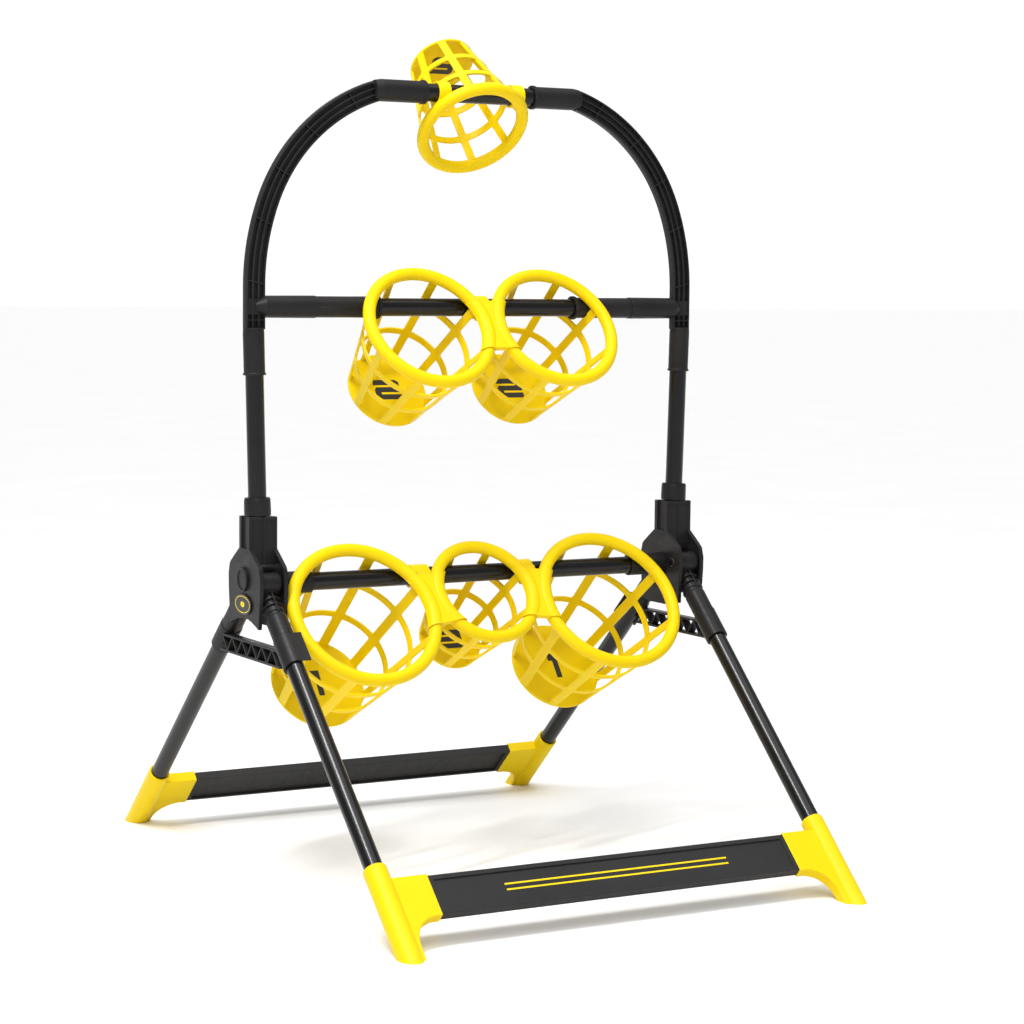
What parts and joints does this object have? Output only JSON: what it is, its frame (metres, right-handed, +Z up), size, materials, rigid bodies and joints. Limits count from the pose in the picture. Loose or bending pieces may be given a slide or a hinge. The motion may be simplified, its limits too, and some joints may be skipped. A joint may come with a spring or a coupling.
{
  "type": "bean bag basket toss tower",
  "caption": "Free-standing folding tower for a bag toss game: arched frame on splayed legs, with tilting lattice baskets hung on cross bars.",
  "frame": {"origin": "on the ground, midway between the feet, under the plane of the arch", "axes": "+Z up, -Y towards the thrower, +X to the thrower's right"},
  "size_m": [0.6386, 0.8622, 1.0412],
  "materials": {
    "yellow_plastic": "satin moulded plastic",
    "black_plastic": "satin moulded plastic",
    "black_tube": "gloss powder coat",
    "pin_steel": "zinc plated"
  },
  "bodies": {
    "tower": {"arch_left": "black_plastic", "arch_right": "black_plastic", "top_bar": "black_tube", "mid_bar": "black_tube", "low_bar": "black_tube", "mid_sleeve_left": "black_plastic", "mid_sleeve_right": "black_plastic", "post_left": "black_tube", "post_right": "black_tube", "hub_collar_left": "black_plastic", "hub_collar_right": "black_plastic", "hub_outer_left": "black_plastic", "hub_outer_right": "black_plastic", "hub_inner_left": "black_plastic", "hub_inner_right": "black_plastic", "hub_cap_left": "black_plastic", "hub_cap_right": "black_plastic", "hub_badge_left": "black_plastic", "hub_badge_right": "black_plastic", "pivot_pin_front_left": "pin_steel", "pivot_pin_front_right": "pin_steel", "pivot_pin_rear_left": "pin_steel", "pivot_pin_rear_right": "pin_steel"},
    "front_leg_frame": {"front_socket_left": "black_plastic", "front_socket_right": "black_plastic", "front_leg_left": "black_tube", "front_leg_right": "black_tube", "front_foot_left": "yellow_plastic", "front_foot_right": "yellow_plastic", "front_base_bar": "black_plastic"},
    "rear_leg_frame": {"rear_socket_left": "black_plastic", "rear_socket_right": "black_plastic", "rear_leg_left": "black_tube", "rear_leg_right": "black_tube", "rear_foot_left": "yellow_plastic", "rear_foot_right": "yellow_plastic", "rear_base_bar": "black_plastic"},
    "brace_left_body": {"brace_left": "black_plastic"},
    "brace_right_body": {"brace_right": "black_plastic"},
    "top_basket_body": {"basket_top": "yellow_plastic"},
    "mid_baskets": {"basket_mid_left": "yellow_plastic", "basket_mid_right": "yellow_plastic", "bracket_mid_front": "yellow_plastic", "bracket_mid_rear": "yellow_plastic"},
    "low_baskets": {"basket_low_left": "yellow_plastic", "basket_low_mid": "yellow_plastic", "basket_low_right": "yellow_plastic", "bracket_low_left_front": "yellow_plastic", "bracket_low_left_rear": "yellow_plastic", "bracket_low_right_front": "yellow_plastic", "bracket_low_right_rear": "yellow_plastic"}
  },
  "joints": [
    {"name": "front_leg_fold", "type": "hinge", "parent": "tower", "child": "front_leg_frame", "pos_m": [0, -0.03, 0.371], "axis": [1, 0, 0], "range_deg": [0, 45]},
    {"name": "rear_leg_fold", "type": "hinge", "parent": "tower", "child": "rear_leg_frame", "pos_m": [0, 0.03, 0.371], "axis": [1, 0, 0], "range_deg": [-45, 0]},
    {"name": "brace_left_swing", "type": "hinge", "parent": "rear_leg_frame", "child": "brace_left_body", "pos_m": [-0.2975, 0.09425, 0.29429], "axis": [0, 0.7321, -0.6812], "range_deg": [0, 180]},
    {"name": "brace_right_swing", "type": "hinge", "parent": "front_leg_frame", "child": "brace_right_body", "pos_m": [0.2975, -0.09425, 0.29429], "axis": [0, -0.7321, -0.6812], "range_deg": [0, 180]},
    {"name": "top_basket_flip", "type": "hinge", "parent": "tower", "child": "top_basket_body", "pos_m": [0, 0, 0.966], "axis": [1, 0, 0], "continuous": true},
    {"name": "mid_baskets_tilt", "type": "hinge", "parent": "tower", "child": "mid_baskets", "pos_m": [0, 0, 0.702], "axis": [1, 0, 0], "range_deg": [-50, 40]},
    {"name": "low_baskets_tilt", "type": "hinge", "parent": "tower", "child": "low_baskets", "pos_m": [0, 0, 0.367], "axis": [1, 0, 0], "range_deg": [-45, 5]}
  ],
  "couplings": [
    {"joint": "rear_leg_fold", "follows": "front_leg_fold", "ratio": -1},
    {"joint": "brace_left_swing", "follows": "front_leg_fold", "ratio": 4},
    {"joint": "brace_right_swing", "follows": "front_leg_fold", "ratio": 4}
  ]
}
